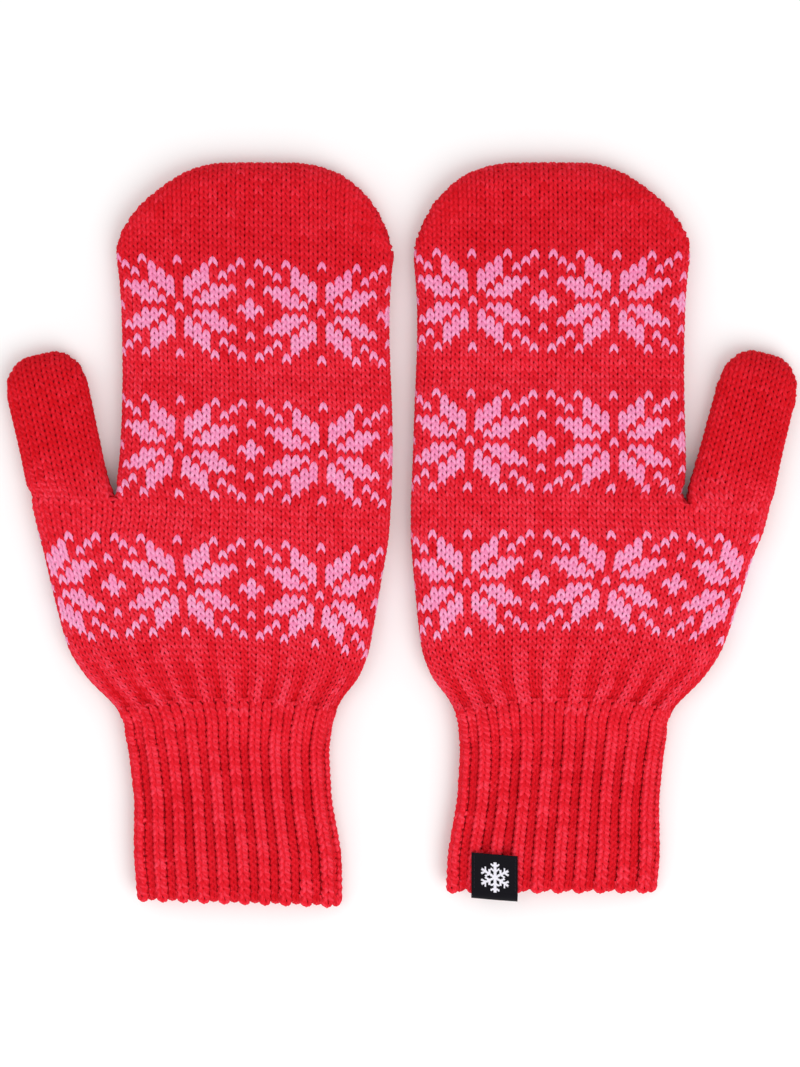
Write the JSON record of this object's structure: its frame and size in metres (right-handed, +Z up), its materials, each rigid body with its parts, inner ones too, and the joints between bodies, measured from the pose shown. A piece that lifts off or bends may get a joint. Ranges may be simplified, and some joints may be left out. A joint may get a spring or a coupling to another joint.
{
  "type": "knitted mittens",
  "caption": "Pair of knitted mittens lying flat, with a star colourwork hand, a thumb, a ribbed cuff with a scalloped edge, and a small woven label.",
  "frame": {"origin": "middle of the pair's footprint, on the surface it lies on", "axes": "+X from the left mitten to the right one, +Y towards the fingertips, +Z up, away from the surface"},
  "size_m": [0.2775, 0.2606, 0.015],
  "materials": {
    "ground_yarn": "knitted coral-red yarn with a star pattern in pink yarn",
    "pattern_yarn": "pink yarn of the star pattern",
    "rib_yarn": "coral-red yarn knitted in a one by one rib",
    "label": "woven black label with a plain white motif",
    "label_thread": "black sewing thread"
  },
  "bodies": {
    "left_palm": {"left_palm": "ground_yarn"},
    "left_fingers": {"left_fingers": "ground_yarn"},
    "left_thumb": {"left_thumb": "ground_yarn"},
    "left_cuff": {"left_cuff": "rib_yarn", "left_cuff_edge": "rib_yarn"},
    "right_palm": {"right_palm": "ground_yarn"},
    "right_fingers": {"right_fingers": "ground_yarn"},
    "right_thumb": {"right_thumb": "ground_yarn"},
    "right_cuff": {"right_cuff": "rib_yarn", "right_cuff_edge": "rib_yarn", "label": "label", "label_stitches_left": "label_thread", "label_stitches_right": "label_thread"}
  },
  "joints": [
    {"name": "left_finger_fold", "type": "hinge", "parent": "left_palm", "child": "left_fingers", "pos_m": [-0.0502, 0.0553, 0.012], "axis": [1, 0, 0], "range_deg": [0, 80]},
    {"name": "left_thumb_swing", "type": "hinge", "parent": "left_palm", "child": "left_thumb", "pos_m": [-0.1141, 0.008, 0.006], "axis": [0, 0, 1], "range_deg": [-10, 25]},
    {"name": "left_cuff_fold", "type": "hinge", "parent": "left_palm", "child": "left_cuff", "pos_m": [-0.0565, -0.0585, 0.0108], "axis": [-1, 0, 0], "range_deg": [0, 80]},
    {"name": "right_mitten_apart", "type": "slide", "parent": "left_palm", "child": "right_palm", "axis": [1, 0, 0], "range_m": [0, 0.1]},
    {"name": "right_finger_fold", "type": "hinge", "parent": "right_palm", "child": "right_fingers", "pos_m": [0.0525, 0.0553, 0.012], "axis": [1, 0, 0], "range_deg": [0, 80]},
    {"name": "right_thumb_swing", "type": "hinge", "parent": "right_palm", "child": "right_thumb", "pos_m": [0.1141, 0.008, 0.006], "axis": [0, 0, -1], "range_deg": [-10, 25]},
    {"name": "right_cuff_fold", "type": "hinge", "parent": "right_palm", "child": "right_cuff", "pos_m": [0.053, -0.0585, 0.0108], "axis": [-1, 0, 0], "range_deg": [0, 80]}
  ]
}
